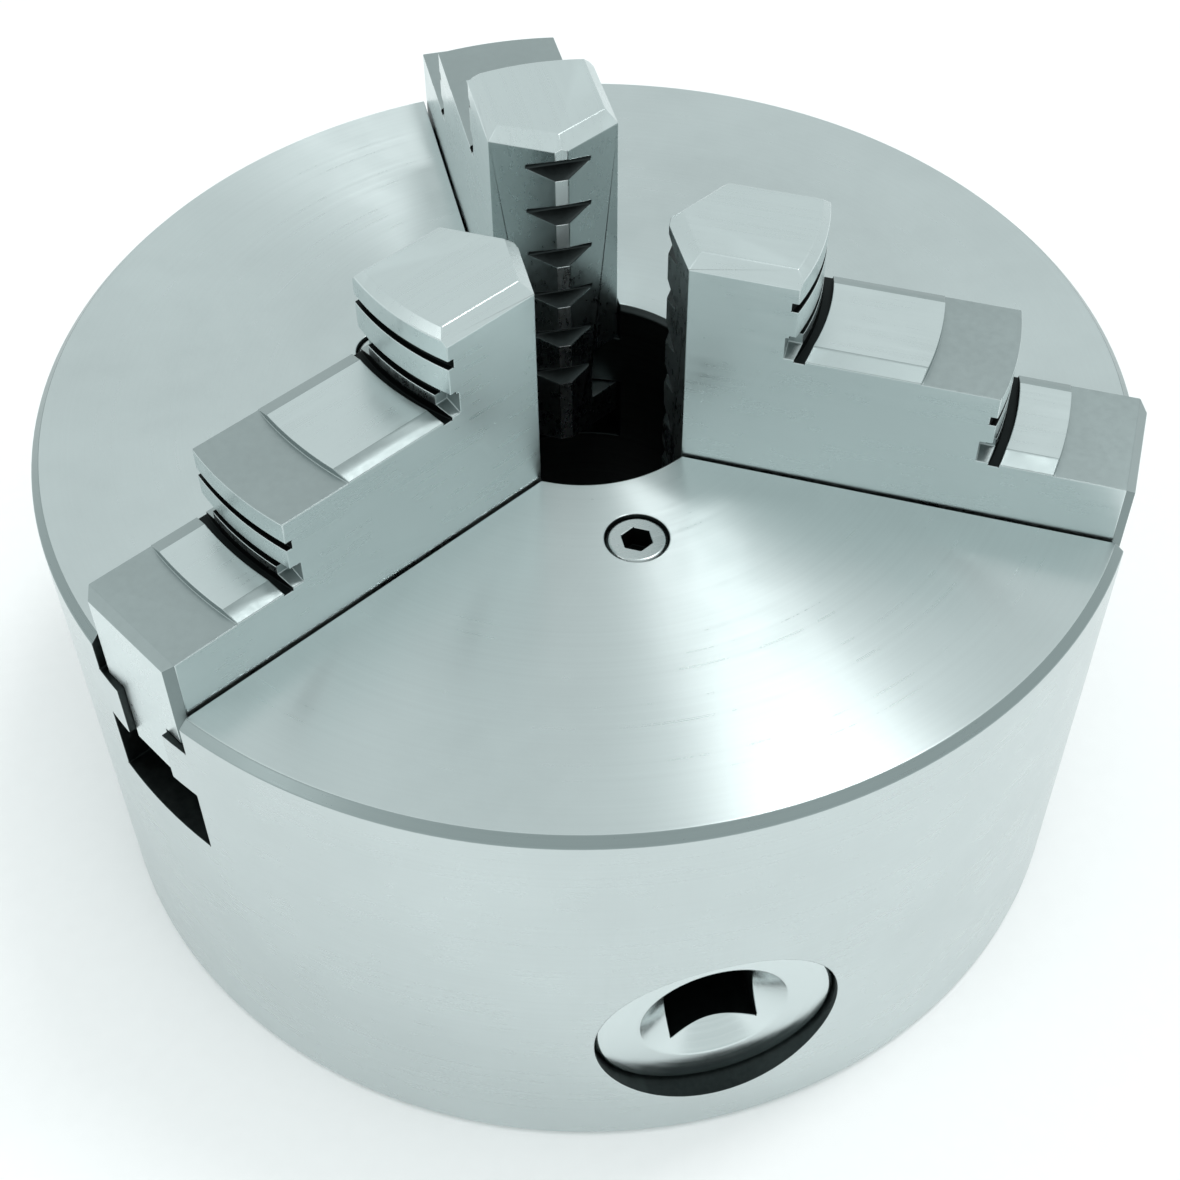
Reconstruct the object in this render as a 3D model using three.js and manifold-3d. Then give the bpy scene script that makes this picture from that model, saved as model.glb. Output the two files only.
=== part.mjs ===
// A three-jaw self-centring scroll chuck of the 125 mm class, in millimetres, standing on its back.
// The origin is the centre of the back face, and +Z runs along the spindle axis, out of the face.
// Turning any pinion turns the scroll plate, whose spiral thread drives the three jaws together.
import * as THREE from "three";
import { mergeVertices } from "three/addons/utils/BufferGeometryUtils.js";
import Module from "manifold-3d";

const wasm = await Module();
wasm.setup();

const DEG = Math.PI / 180;
const MERGE_DISTANCE = 1e-4;
const OVERSHOOT = 2; // how far a cutter runs past the surface it breaks through

// Body.
const BODY_RADIUS = 62.5;
const BODY_HEIGHT = 60;
const RIM_CHAMFER = 1;
const BORE_RADIUS = 15;
const BORE_CHAMFER = 0.6;
const REGISTER_RADIUS = 47.5; // the recess that centres the chuck on its back plate
const REGISTER_DEPTH = 4;
const HUB_RADIUS = 19;
const CAVITY_RADIUS = 41.3; // the room that the scroll plate and the pinions turn in
const CAVITY_ROOF = 43.3;
const COVER_LEDGE = 6.6;
const BODY_SEGMENTS = 72;

// Jaw slots, measured across each slot.
const RUNNING_GAP = 0.2;
const JAW_HALF_WIDTH = 7.3;
const SLOT_SIDE_GAP = 0.3;
const RIB_TOP = 55; // the body's guide ribs reach into the grooves of the jaws
const RIB_BOTTOM = 48;
const NECK_HALF_WIDTH = 3.7;
const SLOT_FLOOR = 38.8;

// Jaws, with heights above the body's face and distances from the chuck's axis at rest.
const JAW_ANGLES = [90, 210, 330];
const NOSE_TIP = 9.6;
const NOSE_FLAT = 0.75; // half the width of the flat that leads the nose
const NOSE_HALF_ANGLE = 60;
const JAW_END = 61.6;
const JAW_BASE_END = 52;
const END_CHAMFER = 1;
const TOP_HEIGHT = 27.2;
const SECOND_STEP = 17.2;
const THIRD_STEP = 8.2;
const PAD_RISE = 0.8; // how far a ground pad stands above the unground end of its step
const FIRST_WALL = { crown: 25.8, radius: 30 };
const SECOND_WALL = { crown: 47, radius: 40 };
const FIRST_PAD_END = { crown: 38.8, radius: 42 };
const SECOND_PAD_END = { crown: 53.6, radius: 54 };
const PAD_CHAMFER = { width: 2, drop: 0.7 };
const TOP_CHAMFER = { width: 1.3, drop: 1.5 };
const NOSE_CHAMFER = 0.7;
const WALL_GROOVE = { depth: 0.7, height: 1, places: [0.56, 0.13] }; // places: shares of the rise
const UNDERCUT = { width: 1.1, depth: 1 };
const WALL_LIP = { width: 0.9, drop: 0.9 };
const NOTCH = { first: 23.3, pitch: 5.93, count: 6, depth: 1.7, mouth: 2.6, floor: 0.4 };
const ARC_STEPS = 8;

// Scroll plate and its spiral thread.
const PITCH = 8; // how far the jaws move in one turn of the scroll plate
const SCROLL_BORE = 19.1;
const SCROLL_RADIUS = 41;
const SCROLL_HUB_RADIUS = 31; // takes in the inner ends of the ring gear's teeth
const SCROLL_BACK = 29;
const SCROLL_DISC_BACK = 35.9;
const THREAD_CREST = 43.1;
const THREAD_ROOT = 38.9;
const THREAD_GROOVE = 4.3;
const GROOVE_START = 16.5; // radius at which the middle of the groove starts, inside the bore
const GROOVE_TURNS = 3.4;
const SPIRAL_STEPS = 36; // steps in one turn of the spiral
const TOOTH_THICKNESS = 3.2;
const TOOTH_HALF_LENGTH = 5;
const TOOTH_TIP = 39.1;
const TOOTH_STEPS = 6;
const TOOTH_RADIUS = 31; // the mean radius of the thread, which the jaw teeth are curved to

// Bevel gears: the ring gear on the back of the scroll plate, and the pinions.
const PINION_HEIGHT = 21;
const PINION_ANGLES = [30, 150, 270];
const RING_TEETH = 54;
const PINION_TEETH = 12;
const PRESSURE_ANGLE = 25;
const GEAR_OUTER = 41.4;
const GEAR_INNER = 30.4;
const RING_INNER = 30;
const BACKLASH = 0.3;
const RING_ADDENDUM = 0.95;
const PINION_ADDENDUM = 1;
const DEDENDUM = 1.25;

// Pinion shaft.
const JOURNAL_RADIUS = 13.6;
const JOURNAL_GAP = 0.15;
const JOURNAL_START = 42.2;
const PINION_FACE = 60;
const COLLAR_RADIUS = 10.7;
const TAIL_RADIUS = 5;
const TAIL_GAP = 0.1;
const TAIL_END = 20;
const STOP_GROOVE = { start: 49.8, end: 54.2, radius: 10 };
const SOCKET_WIDTH = 10;
const SOCKET_DEPTH = 17;
const SOCKET_LEAN = 5; // degrees that the square is turned from upright as the chuck stands
const SOCKET_CONE = { mouth: 8.5, end: 5, depth: 2.5 };
const JOURNAL_SEGMENTS = 24;

// Rear cover.
const COVER_RADIUS = 47.4;
const COVER_BORE = 19.1;
const COVER_TOP = 6.4;
const SLEEVE_RADIUS = 24;
const SLEEVE_TOP = 28.8;

// Fasteners.
const SCREW_GAP = 0.1;
const SMALL_SEGMENTS = 12;
const HEX_SIDES = 6;
const STOP_SCREW = { radius: 3, back: 0.4, shoulder: 5.2, point: 1.9, tip: 10.6, hex: 1.7, hexDepth: 2.4 };
const STOP_SCREW_POSITION = 52;
const COVER_SCREW = { head: 3.2, shank: 1.75, end: 15.6, hex: 1.45, hexDepth: 1.8 };
const COVER_SCREW_POSITION = 44;
const COVER_SCREW_SPREAD = 22; // degrees each side of a jaw, clear of the pinion bores
const FACE_SCREW = { head: 3.4, headHeight: 4.8, sunk: 0.2, shank: 2.4, end: 47, hex: 1.75, hexDepth: 2.6 };
const FACE_SCREW_POSITION = 24.2;
const EDGE_BREAK = 0.4; // the chamfer on the ends of screws and pinions
const MOUNTING_HOLE = { radius: 3.4, depth: 20, circle: 54 };

// ---- Geometry helpers ----

// Turns a closed three.js geometry into a solid, whichever way round its outline was drawn.
function solidFrom(geometry) {
  geometry.deleteAttribute("normal");
  geometry.deleteAttribute("uv");
  const merged = mergeVertices(geometry, MERGE_DISTANCE);
  const corners = merged.index.array;
  const kept = [];
  for (let i = 0; i < corners.length; i += 3) {
    const [a, b, c] = [corners[i], corners[i + 1], corners[i + 2]];
    if (a !== b && b !== c && c !== a) kept.push(a, b, c);
  }
  const build = (triVerts) =>
    new wasm.Manifold(
      new wasm.Mesh({ numProp: 3, vertProperties: merged.attributes.position.array, triVerts }),
    );
  const solid = build(new Uint32Array(kept));
  return solid.volume() < 0 ? build(new Uint32Array(kept).reverse()) : solid;
}

function geometryFrom(solid) {
  const mesh = solid.getMesh();
  const geometry = new THREE.BufferGeometry();
  geometry.setAttribute("position", new THREE.BufferAttribute(mesh.vertProperties, mesh.numProp));
  geometry.setIndex(new THREE.BufferAttribute(mesh.triVerts, 1));
  geometry.computeVertexNormals();
  return geometry;
}

function cutAll(solid, cutters) {
  return cutters.reduce((left, cutter) => left.subtract(cutter), solid);
}

function joinAll(solids) {
  return solids.reduce((whole, solid) => whole.add(solid));
}

// A solid turned round Z, from a closed outline of [radius, height] points.
function turned(outline, segments) {
  const points = [...outline, outline[0]].map(([r, z]) => new THREE.Vector2(r, z));
  return solidFrom(new THREE.LatheGeometry(points, segments).rotateX(Math.PI / 2));
}

// The same, turned round the X axis, from [distance along X, radius] points.
function turnedAlongX(outline, segments) {
  const points = [...outline, outline[0]].map(([x, r]) => new THREE.Vector2(r, x));
  return solidFrom(new THREE.LatheGeometry(points, segments).rotateZ(-Math.PI / 2));
}

// A prism of [x, y] points between two heights.
function prism(outline, bottom, top) {
  const shape = new THREE.Shape(outline.map(([x, y]) => new THREE.Vector2(x, y)));
  const geometry = new THREE.ExtrudeGeometry(shape, { depth: top - bottom, bevelEnabled: false });
  return solidFrom(geometry.translate(0, 0, bottom));
}

// A prism along X, from a closed outline of [y, z] points.
function prismAlongX(outline, start, end) {
  const shape = new THREE.Shape(outline.map(([y, z]) => new THREE.Vector2(y, z)));
  const geometry = new THREE.ExtrudeGeometry(shape, { depth: end - start, bevelEnabled: false });
  geometry.rotateX(Math.PI / 2).rotateZ(Math.PI / 2);
  return solidFrom(geometry.translate(start, 0, 0));
}

// A prism across Y, from a closed outline of [x, z] points.
function prismAcross(outline, halfWidth) {
  const shape = new THREE.Shape(outline.map(([x, z]) => new THREE.Vector2(x, z)));
  const geometry = new THREE.ExtrudeGeometry(shape, { depth: 2 * halfWidth, bevelEnabled: false });
  return solidFrom(geometry.rotateX(Math.PI / 2).translate(0, halfWidth, 0));
}

// A bar of round, hexagonal or square section along Z.
function bar(radius, bottom, top, sides = SMALL_SEGMENTS) {
  const geometry = new THREE.CylinderGeometry(radius, radius, top - bottom, sides);
  return solidFrom(geometry.rotateX(Math.PI / 2).translate(0, 0, (top + bottom) / 2));
}

// A solid through sections of as many [x, y, z] corners each. A loop joins its last section to its first.
function lofted(sections, isLoop = false) {
  const corners = sections[0].length;
  const last = (sections.length - 1) * corners;
  const faces = [];
  sections.forEach((_, i) => {
    if (i === sections.length - 1 && !isLoop) return;
    const here = i * corners;
    const there = here === last ? 0 : here + corners;
    for (let side = 0; side < corners; side++) {
      const next = (side + 1) % corners;
      faces.push(here + side, there + side, there + next);
      faces.push(here + side, there + next, here + next);
    }
  });
  for (let i = 2; i < corners && !isLoop; i++) {
    faces.push(0, i - 1, i, last, last + i, last + i - 1);
  }
  const geometry = new THREE.BufferGeometry();
  geometry.setAttribute("position", new THREE.Float32BufferAttribute(sections.flat(2), 3));
  geometry.setIndex(faces);
  return solidFrom(geometry);
}

// Copies of solids built along X, swung round the chuck's axis to each of some angles.
function swungTo(angles, solids) {
  return angles.flatMap((angle) => solids.map((solid) => solid.rotate([0, 0, angle])));
}

function cosAndSin(angle) {
  return [Math.cos(angle), Math.sin(angle)];
}

// ---- Body ----

const SLOT_HALF_WIDTH = JAW_HALF_WIDTH + SLOT_SIDE_GAP;
const SLOT_NECK = NECK_HALF_WIDTH + RUNNING_GAP;
const COVER_SCREW_ANGLES = JAW_ANGLES.flatMap((angle) => [
  angle - COVER_SCREW_SPREAD,
  angle + COVER_SCREW_SPREAD,
]);

// The outline of a jaw slot, seen from the rim: wide, narrow between the ribs, and wide again.
function jawSlot() {
  const above = BODY_HEIGHT + OVERSHOOT;
  const half = [
    [SLOT_HALF_WIDTH, SLOT_FLOOR],
    [SLOT_HALF_WIDTH, RIB_BOTTOM],
    [SLOT_NECK, RIB_BOTTOM],
    [SLOT_NECK, RIB_TOP],
    [SLOT_HALF_WIDTH, RIB_TOP],
    [SLOT_HALF_WIDTH, above],
  ];
  const mirrored = half.map(([y, z]) => [-y, z]).reverse();
  return prismAlongX([...half, ...mirrored], 0, BODY_RADIUS + OVERSHOOT);
}

function pinionBore() {
  const radius = JOURNAL_RADIUS + JOURNAL_GAP;
  const start = CAVITY_RADIUS - 2 * OVERSHOOT;
  const end = BODY_RADIUS + OVERSHOOT;
  const outline = [[start, 0], [end, 0], [end, radius], [start, radius]];
  return turnedAlongX(outline, JOURNAL_SEGMENTS).translate([0, 0, PINION_HEIGHT]);
}

function stopScrewHole() {
  const hole = bar(STOP_SCREW.radius + SCREW_GAP, -OVERSHOOT, STOP_SCREW.shoulder + SCREW_GAP);
  const point = bar(STOP_SCREW.point + SCREW_GAP, 0, STOP_SCREW.tip);
  return hole.add(point).translate([STOP_SCREW_POSITION, 0, 0]);
}

function faceScrewHole() {
  const seat = BODY_HEIGHT - FACE_SCREW.sunk - FACE_SCREW.headHeight - SCREW_GAP;
  const head = bar(FACE_SCREW.head + SCREW_GAP, seat, BODY_HEIGHT + OVERSHOOT);
  const shank = bar(FACE_SCREW.shank + SCREW_GAP, FACE_SCREW.end - SCREW_GAP, BODY_HEIGHT);
  return head.add(shank).translate([FACE_SCREW_POSITION, 0, 0]);
}

function coverScrewHole() {
  const hole = bar(COVER_SCREW.shank + SCREW_GAP, 0, COVER_SCREW.end + SCREW_GAP);
  return hole.translate([COVER_SCREW_POSITION, 0, 0]);
}

function mountingHole() {
  const hole = bar(MOUNTING_HOLE.radius, -OVERSHOOT, MOUNTING_HOLE.depth);
  return hole.translate([MOUNTING_HOLE.circle, 0, 0]);
}

function chuckBody() {
  const outline = [
    [BORE_RADIUS, REGISTER_DEPTH],
    [HUB_RADIUS, REGISTER_DEPTH],
    [HUB_RADIUS, CAVITY_ROOF],
    [CAVITY_RADIUS, CAVITY_ROOF],
    [CAVITY_RADIUS, COVER_LEDGE],
    [REGISTER_RADIUS, COVER_LEDGE],
    [REGISTER_RADIUS, 0],
    [BODY_RADIUS - RIM_CHAMFER, 0],
    [BODY_RADIUS, RIM_CHAMFER],
    [BODY_RADIUS, BODY_HEIGHT - RIM_CHAMFER],
    [BODY_RADIUS - RIM_CHAMFER, BODY_HEIGHT],
    [BORE_RADIUS + BORE_CHAMFER, BODY_HEIGHT],
    [BORE_RADIUS, BODY_HEIGHT - BORE_CHAMFER],
  ];
  return cutAll(turned(outline, BODY_SEGMENTS), [
    ...swungTo(JAW_ANGLES, [jawSlot(), mountingHole()]),
    ...swungTo(PINION_ANGLES, [pinionBore(), stopScrewHole(), faceScrewHole()]),
    ...swungTo(COVER_SCREW_ANGLES, [coverScrewHole()]),
  ]);
}

// ---- Jaws, built along X with Z from the chuck's back ----

const CUT_HALF_WIDTH = JAW_HALF_WIDTH + OVERSHOOT;

// Points on a wall that bulges away from the chuck's axis, across the whole width of a cutter.
function wallPoints({ crown, radius }) {
  const reach = Math.asin(CUT_HALF_WIDTH / radius);
  return Array.from({ length: ARC_STEPS + 1 }, (_, i) => {
    const [cos, sin] = cosAndSin(reach * ((2 * i) / ARC_STEPS - 1));
    return [crown - radius * (1 - cos), radius * sin];
  });
}

// Everything outside a wall, above a height.
function outside(wall, bottom) {
  const far = JAW_END + OVERSHOOT;
  const outline = [...wallPoints(wall), [far, CUT_HALF_WIDTH], [far, -CUT_HALF_WIDTH]];
  return prism(outline, bottom, BODY_HEIGHT + TOP_HEIGHT + OVERSHOOT);
}

// A band that follows a wall, from one distance off it to another.
function wallBand(wall, from, to, bottom, top) {
  const offset = (distance) => wallPoints({ crown: wall.crown + distance, radius: wall.radius + distance });
  return prism([...offset(to), ...offset(from).reverse()], bottom, top);
}

// The lines that a gripping wall has turned into it, and the relief in the step below it.
function wallDetails(wall, stepHeight, topHeight) {
  const step = BODY_HEIGHT + stepHeight;
  const grooves = WALL_GROOVE.places.map((share) => {
    const bottom = step + (topHeight - stepHeight) * share;
    return wallBand(wall, -WALL_GROOVE.depth, UNDERCUT.width, bottom, bottom + WALL_GROOVE.height);
  });
  const relief = wallBand(wall, 0, UNDERCUT.width, step - UNDERCUT.depth, step + OVERSHOOT);
  return [...grooves, relief];
}

// The section of a cutter that slopes down over an edge, and as far again beyond it.
function chamferSection({ width, drop }, edge, top) {
  return [
    [edge - width, top],
    [edge + width, top - 2 * drop],
    [edge + width, top + OVERSHOOT],
    [edge - width, top + OVERSHOOT],
  ];
}

// A lip cut off the upper edge of a gripping wall.
function wallLip(wall, topHeight) {
  const section = chamferSection(WALL_LIP, 0, BODY_HEIGHT + topHeight);
  const sections = wallPoints(wall).map(([x, y]) => {
    const [cos, sin] = cosAndSin(Math.asin(y / wall.radius));
    return section.map(([distance, z]) => [x + distance * cos, y + distance * sin, z]);
  });
  return lofted(sections);
}

// A sloping cut along both long edges of a step, between two distances from the axis.
function edgeChamfers(chamfer, height, start, end) {
  const section = chamferSection(chamfer, JAW_HALF_WIDTH, BODY_HEIGHT + height);
  const side = prismAlongX(section, start, end);
  return [side, side.mirror([0, 1, 0])];
}

// The distance at which the sloping nose reaches a half width.
function noseShoulder(halfWidth) {
  return NOSE_TIP + (halfWidth - NOSE_FLAT) / Math.tan(NOSE_HALF_ANGLE * DEG);
}

function jawOutline(halfWidth, end, endChamfer) {
  const half = [
    [NOSE_TIP, NOSE_FLAT],
    [noseShoulder(halfWidth), halfWidth],
    [end - endChamfer, halfWidth],
    [end, halfWidth - endChamfer],
  ];
  return [...half.map(([x, y]) => [x, -y]), ...half.reverse()];
}

// The sloping cut along the top of the nose: the outline's front edges, sloped back as they rise.
function noseChamfer() {
  const top = BODY_HEIGHT + TOP_HEIGHT;
  const wedge = [
    [-OVERSHOOT, top - NOSE_CHAMFER - OVERSHOOT],
    [NOSE_CHAMFER + OVERSHOOT, top + OVERSHOOT],
    [-OVERSHOOT, top + OVERSHOOT],
  ];
  const cutter = prismAcross(wedge, BODY_RADIUS);
  const lean = 90 - NOSE_HALF_ANGLE;
  const [cos, sin] = cosAndSin(lean * DEG);
  const flank = cutter.translate([NOSE_TIP * cos + NOSE_FLAT * sin, 0, 0]);
  return [cutter.translate([NOSE_TIP, 0, 0]), ...swungTo([lean, -lean], [flank])];
}

function noseNotches() {
  const { first, pitch, count, depth, mouth, floor } = NOTCH;
  const reach = mouth / 2 + ((mouth - floor) / 2 / depth) * OVERSHOOT;
  return Array.from({ length: count }, (_, i) => {
    const middle = BODY_HEIGHT + first - i * pitch;
    const front = NOSE_TIP - OVERSHOOT;
    const back = NOSE_TIP + depth;
    const outline = [
      [front, middle - reach],
      [back, middle - floor / 2],
      [back, middle + floor / 2],
      [front, middle + reach],
    ];
    return prismAcross(outline, CUT_HALF_WIDTH);
  });
}

// The middle line of the thread's groove, after some turns round the scroll plate.
function grooveRadius(turns) {
  return GROOVE_START + PITCH * turns;
}

// One jaw tooth, curved to the thread and leaning with it.
function jawTooth(distance, top) {
  const lean = PITCH / (2 * Math.PI) / TOOTH_RADIUS;
  const edge = (offset) =>
    Array.from({ length: TOOTH_STEPS + 1 }, (_, i) => {
      const y = TOOTH_HALF_LENGTH * ((2 * i) / TOOTH_STEPS - 1);
      return [distance + offset + lean * y - (y * y) / (2 * TOOTH_RADIUS), y];
    });
  const outline = [...edge(-TOOTH_THICKNESS / 2), ...edge(TOOTH_THICKNESS / 2).reverse()];
  return prism(outline, TOOTH_TIP, top);
}

// The teeth of one jaw stand where the thread's groove crosses that jaw's slot.
function jawTeeth(jawAngle) {
  const crossing = grooveRadius(jawAngle / 360);
  const nearest = noseShoulder(JAW_HALF_WIDTH) + TOOTH_THICKNESS / 2;
  const furthest = JAW_BASE_END - TOOTH_THICKNESS / 2;
  const first = crossing - PITCH * Math.floor((crossing - nearest) / PITCH);
  const count = Math.ceil((furthest - first) / PITCH);
  return Array.from({ length: count }, (_, i) => jawTooth(first + PITCH * i, CAVITY_ROOF + OVERSHOOT));
}

function jawBlank(jawAngle) {
  const full = jawOutline(JAW_HALF_WIDTH, JAW_END, END_CHAMFER);
  const short = jawOutline(JAW_HALF_WIDTH, JAW_BASE_END, END_CHAMFER);
  const narrow = jawOutline(NECK_HALF_WIDTH, JAW_END, 0);
  const head = prism(full, RIB_TOP + RUNNING_GAP, BODY_HEIGHT + TOP_HEIGHT);
  const neck = prism(narrow, RIB_BOTTOM - OVERSHOOT, RIB_TOP + OVERSHOOT);
  const base = prism(short, CAVITY_ROOF, RIB_BOTTOM - RUNNING_GAP);
  return joinAll([head, neck, base, ...jawTeeth(jawAngle)]);
}

// The sloping cut along the upper edge of the jaw's outer end.
function endChamfer(top) {
  const outline = [
    [JAW_END - END_CHAMFER, top],
    [JAW_END + OVERSHOOT, top - END_CHAMFER - OVERSHOOT],
    [JAW_END + OVERSHOOT, top + OVERSHOOT],
  ];
  return prismAcross(outline, CUT_HALF_WIDTH);
}

function jawSteps() {
  const firstEndHeight = SECOND_STEP - PAD_RISE;
  const secondEndHeight = THIRD_STEP - PAD_RISE;
  return [
    outside(FIRST_WALL, BODY_HEIGHT + SECOND_STEP),
    outside(FIRST_PAD_END, BODY_HEIGHT + firstEndHeight),
    outside(SECOND_WALL, BODY_HEIGHT + THIRD_STEP),
    outside(SECOND_PAD_END, BODY_HEIGHT + secondEndHeight),
    endChamfer(BODY_HEIGHT + secondEndHeight),
    ...wallDetails(FIRST_WALL, SECOND_STEP, TOP_HEIGHT),
    ...wallDetails(SECOND_WALL, THIRD_STEP, firstEndHeight),
  ];
}

function jawEdges() {
  const past = (wall) => wall.crown + OVERSHOOT;
  const before = (wall) => wall.crown - OVERSHOOT;
  return [
    wallLip(FIRST_WALL, TOP_HEIGHT),
    ...edgeChamfers(TOP_CHAMFER, TOP_HEIGHT, 0, past(FIRST_WALL)),
    ...edgeChamfers(PAD_CHAMFER, SECOND_STEP, before(FIRST_WALL), past(FIRST_PAD_END)),
    ...edgeChamfers(PAD_CHAMFER, THIRD_STEP, before(SECOND_WALL), past(SECOND_PAD_END)),
    ...noseChamfer(),
  ];
}

function jawSolid(jawAngle) {
  return cutAll(jawBlank(jawAngle), [...jawSteps(), ...jawEdges(), ...noseNotches()]);
}

// ---- Scroll plate ----

// The spiral groove, which winds outwards as the angle grows.
function threadGroove() {
  const steps = Math.round(GROOVE_TURNS * SPIRAL_STEPS);
  const top = THREAD_CREST + OVERSHOOT;
  const sections = Array.from({ length: steps + 1 }, (_, i) => {
    const turns = i / SPIRAL_STEPS;
    const [cos, sin] = cosAndSin(2 * Math.PI * turns);
    const inner = grooveRadius(turns) - THREAD_GROOVE / 2;
    const outer = inner + THREAD_GROOVE;
    const corners = [[inner, THREAD_ROOT], [outer, THREAD_ROOT], [outer, top], [inner, top]];
    return corners.map(([r, z]) => [r * cos, r * sin, z]);
  });
  return lofted(sections);
}

const MODULE_AT_RIM = (2 * SCROLL_RADIUS) / RING_TEETH;
const PITCH_THICKNESS = (Math.PI * MODULE_AT_RIM) / 2 - BACKLASH;
const PINION_PITCH_RADIUS = (MODULE_AT_RIM * PINION_TEETH) / 2;

// The bevel teeth under the plate: each point slopes towards the crossing of the gears' axes.
function ringGear() {
  const tip = -RING_ADDENDUM * MODULE_AT_RIM;
  const root = DEDENDUM * MODULE_AT_RIM;
  const halfThickness = (height) => PITCH_THICKNESS / 2 + height * Math.tan(PRESSURE_ANGLE * DEG);
  const tooth = [[-1, root], [-1, tip], [1, tip], [1, root]];
  const top = SCROLL_DISC_BACK + OVERSHOOT;
  const sections = Array.from({ length: RING_TEETH }, (_, i) => {
    const middle = PINION_ANGLES[0] * DEG + (2 * Math.PI * i) / RING_TEETH;
    return tooth.map(([side, height]) => {
      const [cos, sin] = cosAndSin(middle + (side * halfThickness(height)) / SCROLL_RADIUS);
      const slope = (PINION_PITCH_RADIUS + height) / SCROLL_RADIUS;
      const corners = [
        [RING_INNER, PINION_HEIGHT + RING_INNER * slope],
        [SCROLL_RADIUS, PINION_HEIGHT + SCROLL_RADIUS * slope],
        [SCROLL_RADIUS, top],
        [RING_INNER, top],
      ];
      return corners.map(([r, z]) => [r * cos, r * sin, z]);
    });
  });
  return lofted(sections.flat(), true);
}

function scrollPlate() {
  const outline = [
    [SCROLL_BORE, SCROLL_BACK],
    [SCROLL_HUB_RADIUS, SCROLL_BACK],
    [SCROLL_HUB_RADIUS, SCROLL_DISC_BACK],
    [SCROLL_RADIUS, SCROLL_DISC_BACK],
    [SCROLL_RADIUS, THREAD_CREST],
    [SCROLL_BORE, THREAD_CREST],
  ];
  return turned(outline, BODY_SEGMENTS).add(ringGear()).subtract(threadGroove());
}

// ---- Pinions, built along X with their axis at height 0 ----

// One side of a tooth, as [radius, half angle] points from the root to the tip.
function toothFlank() {
  const base = PINION_PITCH_RADIUS * Math.cos(PRESSURE_ANGLE * DEG);
  const involute = (r) => {
    const pressure = Math.acos(Math.min(1, base / r));
    return Math.tan(pressure) - pressure;
  };
  const atPitch = PITCH_THICKNESS / 2 / PINION_PITCH_RADIUS + involute(PINION_PITCH_RADIUS);
  const root = PINION_PITCH_RADIUS - DEDENDUM * MODULE_AT_RIM;
  const tip = PINION_PITCH_RADIUS + PINION_ADDENDUM * MODULE_AT_RIM;
  const flank = [root, base, (base + tip) / 2, tip];
  return flank.map((r) => [r, atPitch - involute(Math.max(r, base))]);
}

function bevelPinion() {
  const flank = toothFlank();
  const tooth = [...flank.map(([r, half]) => [r, -half]), ...flank.reverse()];
  const step = (2 * Math.PI) / PINION_TEETH;
  const sections = Array.from({ length: PINION_TEETH }, (_, i) =>
    tooth.map(([r, offset]) => {
      const [y, z] = cosAndSin(step * (i + 0.5) + offset).map((value) => (value * r) / SCROLL_RADIUS);
      const inner = [GEAR_INNER, y * GEAR_INNER, z * GEAR_INNER];
      const outer = [GEAR_OUTER, y * GEAR_OUTER, z * GEAR_OUTER];
      return [[GEAR_INNER, 0, 0], inner, outer, [GEAR_OUTER, 0, 0]];
    }),
  );
  return lofted(sections.flat(), true);
}

// The mouth of the key socket, which widens towards the pinion's face.
function socketCone() {
  const { mouth, end, depth } = SOCKET_CONE;
  const slope = (mouth - end) / depth;
  const bottom = PINION_FACE - depth;
  const top = PINION_FACE + OVERSHOOT;
  const outline = [[bottom, 0], [bottom, end], [top, mouth + slope * OVERSHOOT], [top, 0]];
  return turnedAlongX(outline, JOURNAL_SEGMENTS);
}

function squareSocket() {
  const side = SOCKET_WIDTH / 2;
  const corners = [[-side, -side], [side, -side], [side, side], [-side, side]];
  const socket = prismAlongX(corners, PINION_FACE - SOCKET_DEPTH, PINION_FACE + OVERSHOOT);
  return socket.rotate([SOCKET_LEAN, 0, 0]);
}

function pinionSolid() {
  const { start, end, radius } = STOP_GROOVE;
  const shaft = turnedAlongX(
    [
      [TAIL_END, 0],
      [TAIL_END, TAIL_RADIUS - EDGE_BREAK],
      [TAIL_END + EDGE_BREAK, TAIL_RADIUS],
      [GEAR_OUTER, TAIL_RADIUS],
      [GEAR_OUTER, COLLAR_RADIUS],
      [JOURNAL_START, COLLAR_RADIUS],
      [JOURNAL_START, JOURNAL_RADIUS],
      [start, JOURNAL_RADIUS],
      [start, radius],
      [end, radius],
      [end, JOURNAL_RADIUS],
      [PINION_FACE - EDGE_BREAK, JOURNAL_RADIUS],
      [PINION_FACE, JOURNAL_RADIUS - EDGE_BREAK],
      [PINION_FACE, 0],
    ],
    JOURNAL_SEGMENTS,
  );
  return cutAll(shaft.add(bevelPinion()), [socketCone(), squareSocket()]);
}

// ---- Rear cover ----

function coverScrewSeat() {
  const head = COVER_SCREW.head + SCREW_GAP;
  const shank = COVER_SCREW.shank + SCREW_GAP;
  const back = REGISTER_DEPTH;
  const outline = [
    [0, back - OVERSHOOT],
    [head + OVERSHOOT, back - OVERSHOOT],
    [head, back],
    [shank, back + head - shank],
    [shank, COVER_LEDGE],
    [0, COVER_LEDGE],
  ];
  return turned(outline, SMALL_SEGMENTS).translate([COVER_SCREW_POSITION, 0, 0]);
}

function pinionTailHole() {
  const radius = TAIL_RADIUS + TAIL_GAP;
  const end = SLEEVE_RADIUS + OVERSHOOT;
  const outline = [[0, 0], [end, 0], [end, radius], [0, radius]];
  return turnedAlongX(outline, JOURNAL_SEGMENTS).translate([0, 0, PINION_HEIGHT]);
}

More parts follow.
